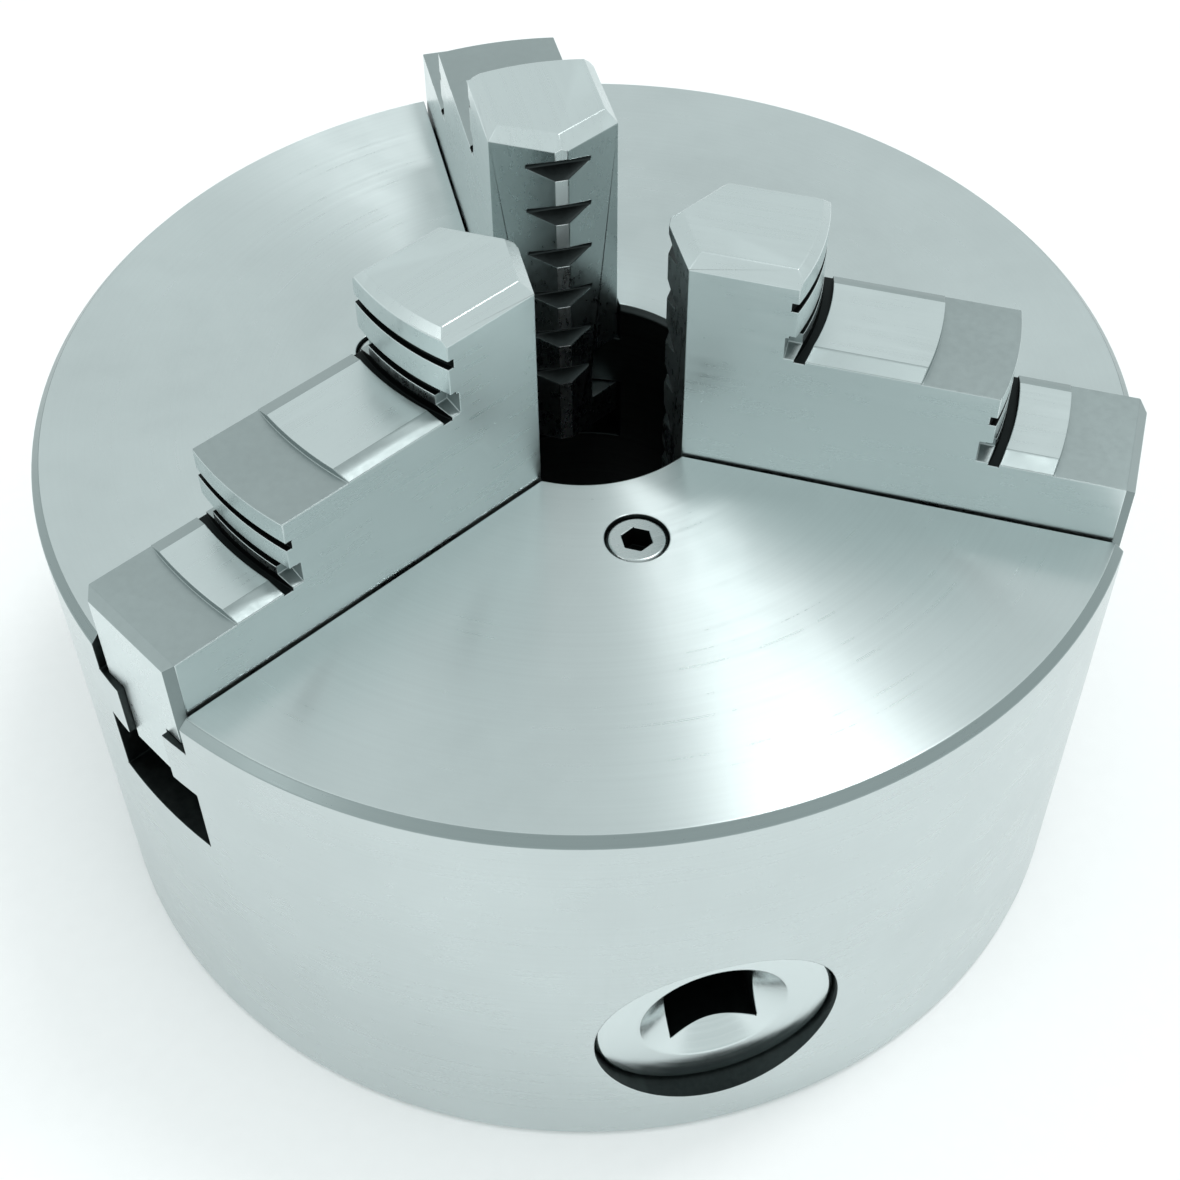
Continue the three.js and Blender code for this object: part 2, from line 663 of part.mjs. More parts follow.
function rearCover() {
  const outline = [
    [COVER_BORE, REGISTER_DEPTH],
    [COVER_RADIUS, REGISTER_DEPTH],
    [COVER_RADIUS, COVER_TOP],
    [SLEEVE_RADIUS, COVER_TOP],
    [SLEEVE_RADIUS, SLEEVE_TOP],
    [COVER_BORE, SLEEVE_TOP],
  ];
  return cutAll(turned(outline, BODY_SEGMENTS), [
    ...swungTo(PINION_ANGLES, [pinionTailHole()]),
    ...swungTo(COVER_SCREW_ANGLES, [coverScrewSeat()]),
  ]);
}

// ---- Fasteners, built on the Z axis at their own heights ----

function hexSocket(radius, bottom, top) {
  return bar(radius, bottom, top, HEX_SIDES);
}

function stopScrew() {
  const { radius, back, shoulder, point, tip, hex, hexDepth } = STOP_SCREW;
  const outline = [
    [0, back],
    [radius - EDGE_BREAK, back],
    [radius, back + EDGE_BREAK],
    [radius, shoulder],
    [point, shoulder],
    [point, tip],
    [0, tip],
  ];
  return turned(outline, SMALL_SEGMENTS).subtract(hexSocket(hex, back - OVERSHOOT, back + hexDepth));
}

function coverScrew() {
  const { head, shank, end, hex, hexDepth } = COVER_SCREW;
  const back = REGISTER_DEPTH;
  const outline = [
    [0, back],
    [head, back],
    [shank, back + head - shank],
    [shank, end - EDGE_BREAK],
    [shank - EDGE_BREAK, end],
    [0, end],
  ];
  return turned(outline, SMALL_SEGMENTS).subtract(hexSocket(hex, back - OVERSHOOT, back + hexDepth));
}

function faceScrew() {
  const { head, headHeight, sunk, shank, end, hex, hexDepth } = FACE_SCREW;
  const top = BODY_HEIGHT - sunk;
  const outline = [
    [0, end],
    [shank, end],
    [shank, top - headHeight],
    [head, top - headHeight],
    [head, top - EDGE_BREAK],
    [head - EDGE_BREAK, top],
    [0, top],
  ];
  return turned(outline, SMALL_SEGMENTS).subtract(hexSocket(hex, top - hexDepth, top + OVERSHOOT));
}

// ---- Assembly ----

const finish = {
  body: { color: 0xb9c4c4, roughness: 0.32, metalness: 0.9 },
  jaw: { color: 0xa9b4b4, roughness: 0.35, metalness: 0.9 },
  pinion: { color: 0xa4aeae, roughness: 0.3, metalness: 1 },
  scroll: { color: 0x8d9798, roughness: 0.4, metalness: 1 },
  cover: { color: 0x9ba5a6, roughness: 0.45, metalness: 0.9 },
  screw: { color: 0x6f7879, roughness: 0.4, metalness: 1 },
};

function named(name, solid, look) {
  const mesh = new THREE.Mesh(geometryFrom(solid), new THREE.MeshStandardMaterial(finish[look]));
  mesh.name = name;
  return mesh;
}

// A group that stands at an angle round the chuck's axis and holds meshes built along X.
function spoke(angle, ...meshes) {
  const group = new THREE.Group();
  group.rotation.z = angle * DEG;
  group.add(...meshes);
  return group;
}

const chuck = new THREE.Group();
chuck.add(named("chuck_body", chuckBody(), "body"));
chuck.add(named("scroll_plate", scrollPlate(), "scroll"));
chuck.add(named("rear_cover", rearCover(), "cover"));

JAW_ANGLES.forEach((angle, i) => {
  chuck.add(spoke(angle, named(`jaw_${i + 1}`, jawSolid(angle), "jaw")));
});

PINION_ANGLES.forEach((angle, i) => {
  const pinion = named(`pinion_${i + 1}`, pinionSolid(), "pinion");
  pinion.position.z = PINION_HEIGHT;
  const stop = named(`pinion_stop_screw_${i + 1}`, stopScrew(), "screw");
  stop.position.x = STOP_SCREW_POSITION;
  const face = named(`face_screw_${i + 1}`, faceScrew(), "screw");
  face.position.x = FACE_SCREW_POSITION;
  chuck.add(spoke(angle, pinion, stop, face));
});

COVER_SCREW_ANGLES.forEach((angle, i) => {
  const screw = named(`cover_screw_${i + 1}`, coverScrew(), "screw");
  screw.position.x = COVER_SCREW_POSITION;
  chuck.add(spoke(angle, screw));
});

export default chuck;
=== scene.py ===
# The looks of a three-jaw self-centring lathe chuck of the 125 mm class, standing on its back.
# Shapes are worked out in millimetres, in the frame of the CAD model, and scaled to metres once made.
import math

import bmesh
import bpy
from mathutils import Matrix, Vector

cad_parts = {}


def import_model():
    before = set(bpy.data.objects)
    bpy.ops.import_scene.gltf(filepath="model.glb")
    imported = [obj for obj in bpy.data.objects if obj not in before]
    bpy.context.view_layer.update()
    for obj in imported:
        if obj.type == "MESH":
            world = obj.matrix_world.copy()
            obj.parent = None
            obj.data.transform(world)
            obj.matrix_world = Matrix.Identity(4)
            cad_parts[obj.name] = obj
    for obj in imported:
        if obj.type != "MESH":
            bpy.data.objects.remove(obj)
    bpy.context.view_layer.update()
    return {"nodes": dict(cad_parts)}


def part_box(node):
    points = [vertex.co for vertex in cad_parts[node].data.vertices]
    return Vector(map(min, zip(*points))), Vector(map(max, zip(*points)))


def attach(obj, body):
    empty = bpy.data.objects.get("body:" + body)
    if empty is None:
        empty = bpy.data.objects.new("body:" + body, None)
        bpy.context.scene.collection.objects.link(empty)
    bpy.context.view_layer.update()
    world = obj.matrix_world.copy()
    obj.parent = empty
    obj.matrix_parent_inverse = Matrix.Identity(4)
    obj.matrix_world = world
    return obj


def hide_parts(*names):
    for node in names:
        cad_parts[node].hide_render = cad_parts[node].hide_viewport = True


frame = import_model()

METRE = 1000  # millimetres


def box_of(node):
    low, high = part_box(node)
    return low * METRE, high * METRE


# ---- Driving dimensions, in millimetres ----

_, BODY_HIGH = box_of("chuck_body")
JAW_LOW, JAW_HIGH = box_of("jaw_1")  # lies along +Y
PINION_LOW, PINION_HIGH = box_of("pinion_3")  # lies along -Y

BODY_RADIUS = BODY_HIGH.x
BODY_HEIGHT = BODY_HIGH.z
BODY_SEGMENTS = 216
RIM_CHAMFER = 1.0
BORE_RADIUS = 15.0
BORE_CHAMFER = 0.6
REGISTER_RADIUS = 47.5
REGISTER_DEPTH = 4.0
HUB_RADIUS = 19.0
CAVITY_RADIUS = 41.3
CAVITY_ROOF = 43.3
COVER_LEDGE = 6.6
OVERSHOOT = 2.0  # how far a cutter runs past the surface it breaks through

# A face whose normal points less far up or down than STEEP is a wall, and one past LEVEL is flat.
STEEP = 0.5
LEVEL = 0.9
NEAR = 0.2  # millimetres within which a face's centre counts as being at a place

JAW_ANGLES = (90, 210, 330)
PINION_ANGLES = (30, 150, 270)
JAW_HALF_WIDTH = JAW_HIGH.x
RUNNING_GAP = 0.2
SLOT_SIDE_GAP = 0.3
RIB_TOP = 55.0
RIB_BOTTOM = 48.0
NECK_HALF_WIDTH = 3.7
SLOT_FLOOR = 38.8

NOSE_TIP = JAW_LOW.y
NOSE_FLAT = 0.75
NOSE_HALF_ANGLE = math.radians(60)
JAW_END = JAW_HIGH.y
JAW_BASE_END = 52.0
END_CHAMFER = 1.0
TOP_HEIGHT = JAW_HIGH.z - BODY_HEIGHT
SECOND_STEP = 17.2
THIRD_STEP = 8.2
PAD_RISE = 0.8
FIRST_WALL = (25.8, 30.0)  # distance of its crown from the chuck's axis, and its own radius
SECOND_WALL = (47.0, 40.0)
FIRST_PAD_END = (38.8, 42.0)
SECOND_PAD_END = (53.6, 54.0)
PAD_CHAMFER = (2.0, 0.7)  # width and drop
TOP_CHAMFER = (1.3, 1.5)
NOSE_CHAMFER = 0.7
ARC_STEPS = 20

PITCH = 8.0
GROOVE_START = 16.5
TOOTH_TIP = 39.1
TOOTH_THICKNESS = 3.2
TOOTH_HALF_LENGTH = 5.0
TOOTH_RADIUS = 31.0

PINION_HEIGHT = (PINION_LOW.z + PINION_HIGH.z) / 2
PINION_FACE = -PINION_LOW.y
JOURNAL_RADIUS = PINION_HIGH.x
JOURNAL_GAP = 0.15
JOURNAL_SEGMENTS = 96

# ---- Mesh helpers ----

MERGE_DISTANCE = 1e-4
SLIVER_WIDTH = 0.02  # corners closer than this after a cut are one corner
SLIVER_EDGE = 0.01
FLAT_ANGLE = math.radians(0.5)  # faces that meet at less than this are one face


def new_object(name, vertices, faces):
    """An object of a closed mesh, with its faces turned outwards."""
    mesh = bpy.data.meshes.new(name)
    mesh.from_pydata([tuple(v) for v in vertices], [], faces)
    mesh.validate()
    made = bpy.data.objects.new(name, mesh)
    bpy.context.scene.collection.objects.link(made)
    return face_out(made)


def face_out(made):
    edit = bmesh.new()
    edit.from_mesh(made.data)
    bmesh.ops.remove_doubles(edit, verts=edit.verts, dist=MERGE_DISTANCE)
    bmesh.ops.recalc_face_normals(edit, faces=edit.faces)
    if edit.calc_volume(signed=True) < 0:
        bmesh.ops.reverse_faces(edit, faces=edit.faces)
    edit.to_mesh(made.data)
    edit.free()
    return made


def turned(name, outline, segments):
    """A solid turned round Z, from a closed outline of (radius, height) points."""
    vertices, faces = [], []
    count = len(outline)
    for i in range(segments):
        angle = 2 * math.pi * i / segments
        vertices += [(r * math.cos(angle), r * math.sin(angle), z) for r, z in outline]
    for i in range(segments):
        here, there = i * count, (i + 1) % segments * count
        for a in range(count):
            b = (a + 1) % count
            if outline[a][0] or outline[b][0]:
                faces.append((here + a, there + a, there + b, here + b))
    return new_object(name, vertices, faces)


def loft(name, rings, closed=False):
    """A solid through rings of as many points each, with flat ends unless it closes on itself."""
    count = len(rings[0])
    vertices = [point for ring in rings for point in ring]
    faces = []
    spans = len(rings) if closed else len(rings) - 1
    for i in range(spans):
        here, there = i * count, (i + 1) % len(rings) * count
        for a in range(count):
            b = (a + 1) % count
            faces.append((here + a, here + b, there + b, there + a))
    if not closed:
        faces.append(tuple(range(count)))
        faces.append(tuple(range((len(rings) - 1) * count, len(rings) * count)))
    return new_object(name, vertices, faces)


def prism(outline, bottom, top):
    """A prism of (x, y) points between two heights."""
    return loft("cutter", [[(x, y, z) for x, y in outline] for z in (bottom, top)])


def prism_along_x(outline, start, end):
    return loft("cutter", [[(x, y, z) for y, z in outline] for x in (start, end)])


def prism_across(outline, half_width):
    return loft("cutter", [[(x, y, z) for x, z in outline] for y in (-half_width, half_width)])


def rod(radius, bottom, top, segments=48):
    return turned("cutter", [(0, bottom), (radius, bottom), (radius, top), (0, top)], segments)


def rod_along_x(outline, segments):
    """The same as turned, round the X axis, from (distance along X, radius) points."""
    made = turned("cutter", [(r, x) for x, r in outline], segments)
    return moved(made, Matrix.Rotation(math.pi / 2, 4, "Y"))


def moved(made, matrix):
    made.data.transform(matrix)
    return face_out(made)


def shifted(made, x=0.0, y=0.0, z=0.0):
    return moved(made, Matrix.Translation((x, y, z)))


def swung(made, degrees):
    return moved(made, Matrix.Rotation(math.radians(degrees), 4, "Z"))


def copies(make, angles):
    """One of what make gives for each angle, swung round the chuck's axis to it."""
    return [swung(piece, angle) for angle in angles for piece in make()]


def painted(made, material):
    """Gives a blank its material, or a cutter the material of the faces it makes."""
    made.data.materials.clear()
    made.data.materials.append(material)
    return made


def repaint(made, material, is_wanted):
    """Gives the faces that is_wanted(centre, normal) picks another material."""
    made.data.materials.append(material)
    index = len(made.data.materials) - 1
    for face in made.data.polygons:
        if is_wanted(face.center, face.normal):
            face.material_index = index
    return made


def bake(made):
    """Applies an object's modifiers."""
    graph = bpy.context.evaluated_depsgraph_get()
    mesh = bpy.data.meshes.new_from_object(made.evaluated_get(graph))
    made.modifiers.clear()
    made.data = mesh
    return made


def combined(made, others, operation):
    operands = bpy.data.collections.new("operands")
    for other in others:
        operands.objects.link(other)
    boolean = made.modifiers.new("boolean", "BOOLEAN")
    boolean.operation = operation
    boolean.solver = "EXACT"
    boolean.material_mode = "TRANSFER"
    boolean.operand_type = "COLLECTION"
    boolean.collection = operands
    bake(made)
    for other in others:
        bpy.data.objects.remove(other)
    bpy.data.collections.remove(operands)
    return made


def cut(made, cutters):
    return combined(made, cutters, "DIFFERENCE")


def joined(made, others):
    return combined(made, others, "UNION")


def eased(made, width, segments=2, angle=28):
    """Breaks every sharp edge, and shades flats flat and curves smooth."""
    edit = bmesh.new()
    edit.from_mesh(made.data)
    bmesh.ops.remove_doubles(edit, verts=edit.verts, dist=SLIVER_WIDTH)
    bmesh.ops.dissolve_degenerate(edit, edges=edit.edges, dist=SLIVER_EDGE)
    bmesh.ops.dissolve_limit(
        edit, angle_limit=FLAT_ANGLE, verts=edit.verts, edges=edit.edges, delimit={"MATERIAL"}
    )
    edit.to_mesh(made.data)
    edit.free()
    made.data.shade_smooth()
    bevel = made.modifiers.new("edges", "BEVEL")
    bevel.width = width
    bevel.segments = segments
    bevel.limit_method = "ANGLE"
    bevel.angle_limit = math.radians(angle)
    bevel.use_clamp_overlap = False
    bevel.miter_outer = "MITER_ARC"
    bevel.harden_normals = True
    normals = made.modifiers.new("normals", "WEIGHTED_NORMAL")
    normals.keep_sharp = True
    normals.weight = 100
    return bake(made)


def placed(made, name, body, node, height=0.0, degrees=0.0):
    """Scales a finished piece to metres, sets it in the frame, and says what it stands for."""
    made.name = name
    made.data.name = name
    made.data.transform(Matrix.Scale(1 / METRE, 4))
    made.location.z = height / METRE
    made.rotation_euler.z = math.radians(degrees)
    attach(made, body)
    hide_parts(node)
    return made


# ---- Materials ----


class Graph:
    """A material's node tree, with a short way to add a node and set or link its inputs."""

    def __init__(self, name):
        self.material = bpy.data.materials.new(name)
        self.material.use_nodes = True
        self.tree = self.material.node_tree
        self.tree.nodes.clear()

    def add(self, kind, settings=None, **inputs):
        node = self.tree.nodes.new(kind)
        for key, value in (settings or {}).items():
            setattr(node, key, value)
        for key, value in inputs.items():
            place = int(key[1:]) if key[0] == "_" else key.replace("_", " ")
            if isinstance(value, bpy.types.NodeSocket):
                self.tree.links.new(value, node.inputs[place])
            else:
                node.inputs[place].default_value = value
        return node

    def math(self, operation, a, b=0.0):
        return self.add("ShaderNodeMath", {"operation": operation}, _0=a, _1=b).outputs[0]

    def noise(self, vector, scale, detail=3.0, rough=0.55):
        inputs = {"Vector": vector, "Scale": scale, "Detail": detail, "Roughness": rough}
        return self.add("ShaderNodeTexNoise", None, **inputs).outputs["Fac"]

    def ramp(self, value, low, high, to_low, to_high):
        node = self.add("ShaderNodeMapRange", None, Value=value)
        for name, number in (("From Min", low), ("From Max", high), ("To Min", to_low), ("To Max", to_high)):
            node.inputs[name].default_value = number
        return node.outputs[0]

    def mix(self, factor, a, b):
        node = self.add("ShaderNodeMix", {"data_type": "RGBA"}, _0=factor, _6=a, _7=b)
        return node.outputs[2]

    def scaled(self, vector, x, y, z):
        node = self.add("ShaderNodeVectorMath", {"operation": "MULTIPLY"}, _0=vector)
        node.inputs[1].default_value = (x, y, z)
        return node.outputs[0]

    def finish(self, **inputs):
        shader = self.add("ShaderNodeBsdfPrincipled", None, **inputs)
        self.add("ShaderNodeOutputMaterial", None, Surface=shader.outputs[0])
        return self.material


def rgba(colour):
    return (*colour, 1.0)


def darker(colour, share):
    return tuple(c * share for c in colour)


RADIAL_GLEAM = 0.25  # the anisotropic rotation at which a faced surface gleams along its radii
CLOUD_SCALE = 45.0  # of the faint broad patches, per metre
HANDLING_SCALE = 160.0  # of the smears and scuffs
MARK_HEIGHT = 0.00002  # of the tool marks, in metres


def steel(name, colour, roughness, lines, anisotropic=0.0, axis=None, depth=0.3, edge_wear_and_glint=0.25, stain=0.9):
    """Machined steel. lines(graph, coordinates) gives the coordinates in which its tool marks run straight."""
    graph = Graph(name)
    coordinates = graph.add("ShaderNodeTexCoord").outputs["Object"]
    marks = graph.noise(lines(graph, coordinates), 1.0, 4.0, 0.6)
    clouds = graph.noise(coordinates, CLOUD_SCALE, 3.0, 0.5)
    handling = graph.noise(coordinates, HANDLING_SCALE, 5.0, 0.65)
    tone = graph.math("ADD", graph.math("MULTIPLY", marks, 0.45), graph.math("MULTIPLY", clouds, 0.55))
    tinted = graph.mix(graph.ramp(tone, 0.32, 0.68, 0, 1), rgba(darker(colour, stain)), rgba(colour))
    # Convex edges are painted lighter, up to a quarter brighter than the colour: partly real edge wear, partly
    # a painted highlight where edges catch the light.
    pointed = graph.add("ShaderNodeNewGeometry").outputs["Pointiness"]
    edge = graph.math("MULTIPLY", graph.ramp(pointed, 0.52, 0.6, 0, 1), graph.ramp(handling, 0.35, 0.6, 0.3, 1))
    bright = tuple(min(1.0, c * 1.25) for c in colour)
    worn_and_glinting = graph.mix(graph.math("MULTIPLY", edge, edge_wear_and_glint), tinted, rgba(bright))
    rough = graph.ramp(marks, 0.25, 0.75, roughness - 0.06, roughness + 0.06)
    rough = graph.math("ADD", rough, graph.ramp(handling, 0.4, 0.75, -0.02, 0.05))
    bump = graph.add("ShaderNodeBump", None, Strength=depth, Height=marks)
    bump.inputs["Distance"].default_value = MARK_HEIGHT
    inputs = {
        "Base Color": worn_and_glinting,
        "Metallic": 1.0,
        "Roughness": rough,
        "Normal": bump.outputs[0],
        "Anisotropic": anisotropic,
        "Anisotropic Rotation": RADIAL_GLEAM if axis == "Z" else 0.0,
    }
    if axis:
        tangent = graph.add("ShaderNodeTangent", {"direction_type": "RADIAL", "axis": axis})
        inputs["Tangent"] = tangent.outputs[0]
    return graph.finish(**inputs)


def turned_about(axis):
    """Coordinates in which circles round an axis are straight: distance from it, and distance along it."""

    def lines(graph, coordinates):
        apart = graph.add("ShaderNodeSeparateXYZ", None, Vector=coordinates).outputs
        along = apart["XYZ".index(axis)]
        across = [apart[i] for i in range(3) if "XYZ"[i] != axis]
        squares = [graph.math("MULTIPLY", value, value) for value in across]
        radius = graph.math("SQRT", graph.math("ADD", *squares))
        joined_up = graph.add("ShaderNodeCombineXYZ", None, X=radius, Z=along).outputs[0]
        return graph.scaled(joined_up, 1600, 1600, 1600)

    return lines


def ground_along_x(graph, coordinates):
    return graph.scaled(coordinates, 60, 1900, 900)


def blasted(graph, coordinates):
    return graph.scaled(coordinates, 1200, 1200, 1200)


BODY_COLOUR = (0.70, 0.77, 0.77)
# Painted shade: the body's outer side is given a darker copy of the face's steel colour.
SHADED_SIDE_COLOUR = (0.60, 0.66, 0.66)
JAW_COLOUR = (0.66, 0.73, 0.73)
UNGROUND_COLOUR = (0.40, 0.46, 0.46)
SHADOW_COLOUR = (0.05, 0.06, 0.06)
# Painted shade: near black for sockets, wall grooves and reliefs.
RECESS_SHADE_COLOUR = (0.02, 0.025, 0.025)

turned_steel = steel("turned_steel", BODY_COLOUR, 0.32, turned_about("Z"), anisotropic=0.95, axis="Z")
# Painted shade: the body's outer side, darker than the face.
shaded_side_steel = steel("shaded_side_steel", SHADED_SIDE_COLOUR, 0.3, turned_about("Z"), depth=0.15)
# Painted shade: the rim chamfer, darker than the face.
shaded_rim_steel = steel("shaded_rim_steel", (0.34, 0.40, 0.40), 0.32, turned_about("Z"), depth=0.2)
# Painted shadow: near black in the jaw slots, holes and nose notches, with a strong painted highlight on their
# edges.
slot_shadow_steel = steel("slot_shadow_steel", SHADOW_COLOUR, 0.45, blasted, depth=0.2, stain=0.5, edge_wear_and_glint=0.5)
# Painted shade: the bore inside the hub, near black.
bore_shade_steel = steel("bore_shade_steel", (0.06, 0.07, 0.07), 0.4, turned_about("Z"), stain=0.5, edge_wear_and_glint=0.1)
ground_steel = steel("ground_steel", JAW_COLOUR, 0.3, ground_along_x, depth=0.02, stain=0.96)
# Painted highlight: the nose tip land, near white.
lit_land_steel = steel("lit_land_steel", (0.92, 0.97, 0.97), 0.3, ground_along_x, depth=0.02, stain=0.96)
# Painted shade: the nose flanks, darker than the jaw.
shaded_flank_steel = steel("shaded_flank_steel", (0.36, 0.42, 0.42), 0.3, ground_along_x, depth=0.02, stain=0.9)
unground_steel = steel("unground_steel", UNGROUND_COLOUR, 0.42, blasted, depth=0.15, stain=0.88)
# Painted shade: the jaw's end chamfer, a dark strip.
shaded_end_chamfer_steel = steel("shaded_end_chamfer_steel", (0.22, 0.27, 0.27), 0.4, blasted, depth=0.2, stain=0.8)
pinion_steel = steel("pinion_steel", BODY_COLOUR, 0.2, turned_about("X"), anisotropic=0.5, axis="X", depth=0.15)
# Painted shade: near black in sockets, wall grooves and reliefs.
recess_shade_steel = steel("recess_shade_steel", RECESS_SHADE_COLOUR, 0.5, blasted, depth=0.3, stain=0.6)
screw_steel = steel("screw_steel", (0.58, 0.64, 0.64), 0.28, turned_about("Z"), depth=0.2)
scroll_steel = steel("scroll_steel", (0.30, 0.34, 0.34), 0.35, turned_about("Z"), depth=0.3)
cover_steel = steel("cover_steel", (0.42, 0.48, 0.48), 0.35, turned_about("Z"), anisotropic=0.5, axis="Z")

# ---- Body ----


def jaw_slot():
    """Wide, narrow between the ribs, and wide again, as it is seen from the rim."""
    wide = JAW_HALF_WIDTH + SLOT_SIDE_GAP
    narrow = NECK_HALF_WIDTH + RUNNING_GAP
    above = BODY_HEIGHT + OVERSHOOT
    half = [
        (wide, SLOT_FLOOR),
        (wide, RIB_BOTTOM),
        (narrow, RIB_BOTTOM),
        (narrow, RIB_TOP),
        (wide, RIB_TOP),
        (wide, above),
    ]
    outline = half + [(-y, z) for y, z in reversed(half)]
    return prism_along_x(outline, 0, BODY_RADIUS + OVERSHOOT)


STOP_SCREW = {"radius": 3.0, "back": 0.4, "shoulder": 5.2, "point": 1.9, "tip": 10.6, "hex": 1.7, "deep": 2.4}
STOP_SCREW_POSITION = 52.0
COVER_SCREW = {"head": 3.2, "shank": 1.75, "end": 15.6, "hex": 1.45, "deep": 1.8}
COVER_SCREW_POSITION = 44.0
COVER_SCREW_SPREAD = 22
COVER_SCREW_ANGLES = [angle + side * COVER_SCREW_SPREAD for angle in JAW_ANGLES for side in (-1, 1)]
FACE_SCREW = {"head": 3.4, "height": 4.8, "sunk": 0.2, "shank": 2.4, "end": 47.0, "hex": 1.75, "deep": 2.6}
FACE_SCREW_POSITION = 24.2
SCREW_GAP = 0.1
SCREW_EDGE = 0.4
MOUNTING_HOLE = {"radius": 3.4, "depth": 20.0, "circle": 54.0}


def holes_at_pinion():
    radius = JOURNAL_RADIUS + JOURNAL_GAP
    start, end = CAVITY_RADIUS - 2 * OVERSHOOT, BODY_RADIUS + OVERSHOOT
    bore = rod_along_x([(start, 0), (end, 0), (end, radius), (start, radius)], JOURNAL_SEGMENTS)
    stop = rod(STOP_SCREW["radius"] + SCREW_GAP, -OVERSHOOT, STOP_SCREW["shoulder"] + SCREW_GAP)
    point = rod(STOP_SCREW["point"] + SCREW_GAP, 0, STOP_SCREW["tip"])
    seat = BODY_HEIGHT - FACE_SCREW["sunk"] - FACE_SCREW["height"] - SCREW_GAP
    head = rod(FACE_SCREW["head"] + SCREW_GAP, seat, BODY_HEIGHT + OVERSHOOT)
    shank = rod(FACE_SCREW["shank"] + SCREW_GAP, FACE_SCREW["end"] - SCREW_GAP, BODY_HEIGHT)
    holes = [
        shifted(bore, z=PINION_HEIGHT),
        shifted(stop, x=STOP_SCREW_POSITION),
        shifted(point, x=STOP_SCREW_POSITION),
        shifted(head, x=FACE_SCREW_POSITION),
        shifted(shank, x=FACE_SCREW_POSITION),
    ]
    # The faces these holes make are painted near black: painted shadow.
    return [painted(hole, slot_shadow_steel) for hole in holes]


def holes_at_jaw():
    hole = rod(MOUNTING_HOLE["radius"], -OVERSHOOT, MOUNTING_HOLE["depth"])
    # The faces the slot and hole make are painted near black: painted shadow.
    return [painted(jaw_slot(), slot_shadow_steel), painted(shifted(hole, x=MOUNTING_HOLE["circle"]), slot_shadow_steel)]


def cover_screw_hole():
    hole = rod(COVER_SCREW["shank"] + SCREW_GAP, 0, COVER_SCREW["end"] + SCREW_GAP)
    # The faces this hole makes are painted near black: painted shadow.
    return [painted(shifted(hole, x=COVER_SCREW_POSITION), slot_shadow_steel)]


def is_in_bore(at, _):
    return math.hypot(at.x, at.y) < HUB_RADIUS - 1 and at.z < BODY_HEIGHT - NEAR / 2


def is_outside_register(at):
    return math.hypot(at.x, at.y) > REGISTER_RADIUS


def chuck_body():
    outline = [
        (BORE_RADIUS, REGISTER_DEPTH),
        (HUB_RADIUS, REGISTER_DEPTH),
        (HUB_RADIUS, CAVITY_ROOF),
        (CAVITY_RADIUS, CAVITY_ROOF),
        (CAVITY_RADIUS, COVER_LEDGE),
        (REGISTER_RADIUS, COVER_LEDGE),
        (REGISTER_RADIUS, 0),
        (BODY_RADIUS - RIM_CHAMFER, 0),
        (BODY_RADIUS, RIM_CHAMFER),
        (BODY_RADIUS, BODY_HEIGHT - RIM_CHAMFER),
        (BODY_RADIUS - RIM_CHAMFER, BODY_HEIGHT),
        (BORE_RADIUS + BORE_CHAMFER, BODY_HEIGHT),
        (BORE_RADIUS, BODY_HEIGHT - BORE_CHAMFER),
    ]
    cutters = copies(holes_at_jaw, JAW_ANGLES)
    cutters += copies(holes_at_pinion, PINION_ANGLES)
    cutters += copies(cover_screw_hole, COVER_SCREW_ANGLES)
    blank = painted(turned("body", outline, BODY_SEGMENTS), turned_steel)
    # The bore gets painted shade.
    repaint(blank, bore_shade_steel, is_in_bore)
    # The rim chamfer gets painted shade.
    repaint(blank, shaded_rim_steel, lambda at, normal: is_outside_register(at) and STEEP < normal.z < LEVEL)
    # The outer side gets painted shade.
    repaint(blank, shaded_side_steel, lambda at, normal: is_outside_register(at) and abs(normal.z) < STEEP)
    return eased(cut(blank, cutters), 0.12)


# ---- Jaws, built along X ----

CUT_HALF_WIDTH = JAW_HALF_WIDTH + OVERSHOOT


def wall_points(wall, offset=0.0, half_width=CUT_HALF_WIDTH):
    """Points on a wall that bulges away from the chuck's axis."""
    crown, radius = wall[0] + offset, wall[1] + offset
    reach = math.asin(half_width / radius)
    angles = [reach * (2 * i / ARC_STEPS - 1) for i in range(ARC_STEPS + 1)]
    return [(crown - radius * (1 - math.cos(a)), radius * math.sin(a)) for a in angles]


def outside(wall, bottom):
    far = JAW_END + OVERSHOOT
    outline = [*wall_points(wall), (far, CUT_HALF_WIDTH), (far, -CUT_HALF_WIDTH)]
    return prism(outline, bottom, BODY_HEIGHT + TOP_HEIGHT + OVERSHOOT)


def wall_band(wall, section):
    """A solid that follows a wall with one section of (distance off the wall, height) points."""
    lines = [wall_points(wall, distance) for distance, _ in section]
    heights = [height for _, height in section]
    rings = [[(*line[i], z) for line, z in zip(lines, heights)] for i in range(ARC_STEPS + 1)]
    return loft("cutter", rings)


GROOVE_DEPTH = 0.7
GROOVE_HEIGHT = 1.0
GROOVE_SHARES = (0.56, 0.13)  # of the way up the wall
RELIEF_WIDTH = 1.1
RELIEF_DEPTH = 1.0
LIP = 0.9


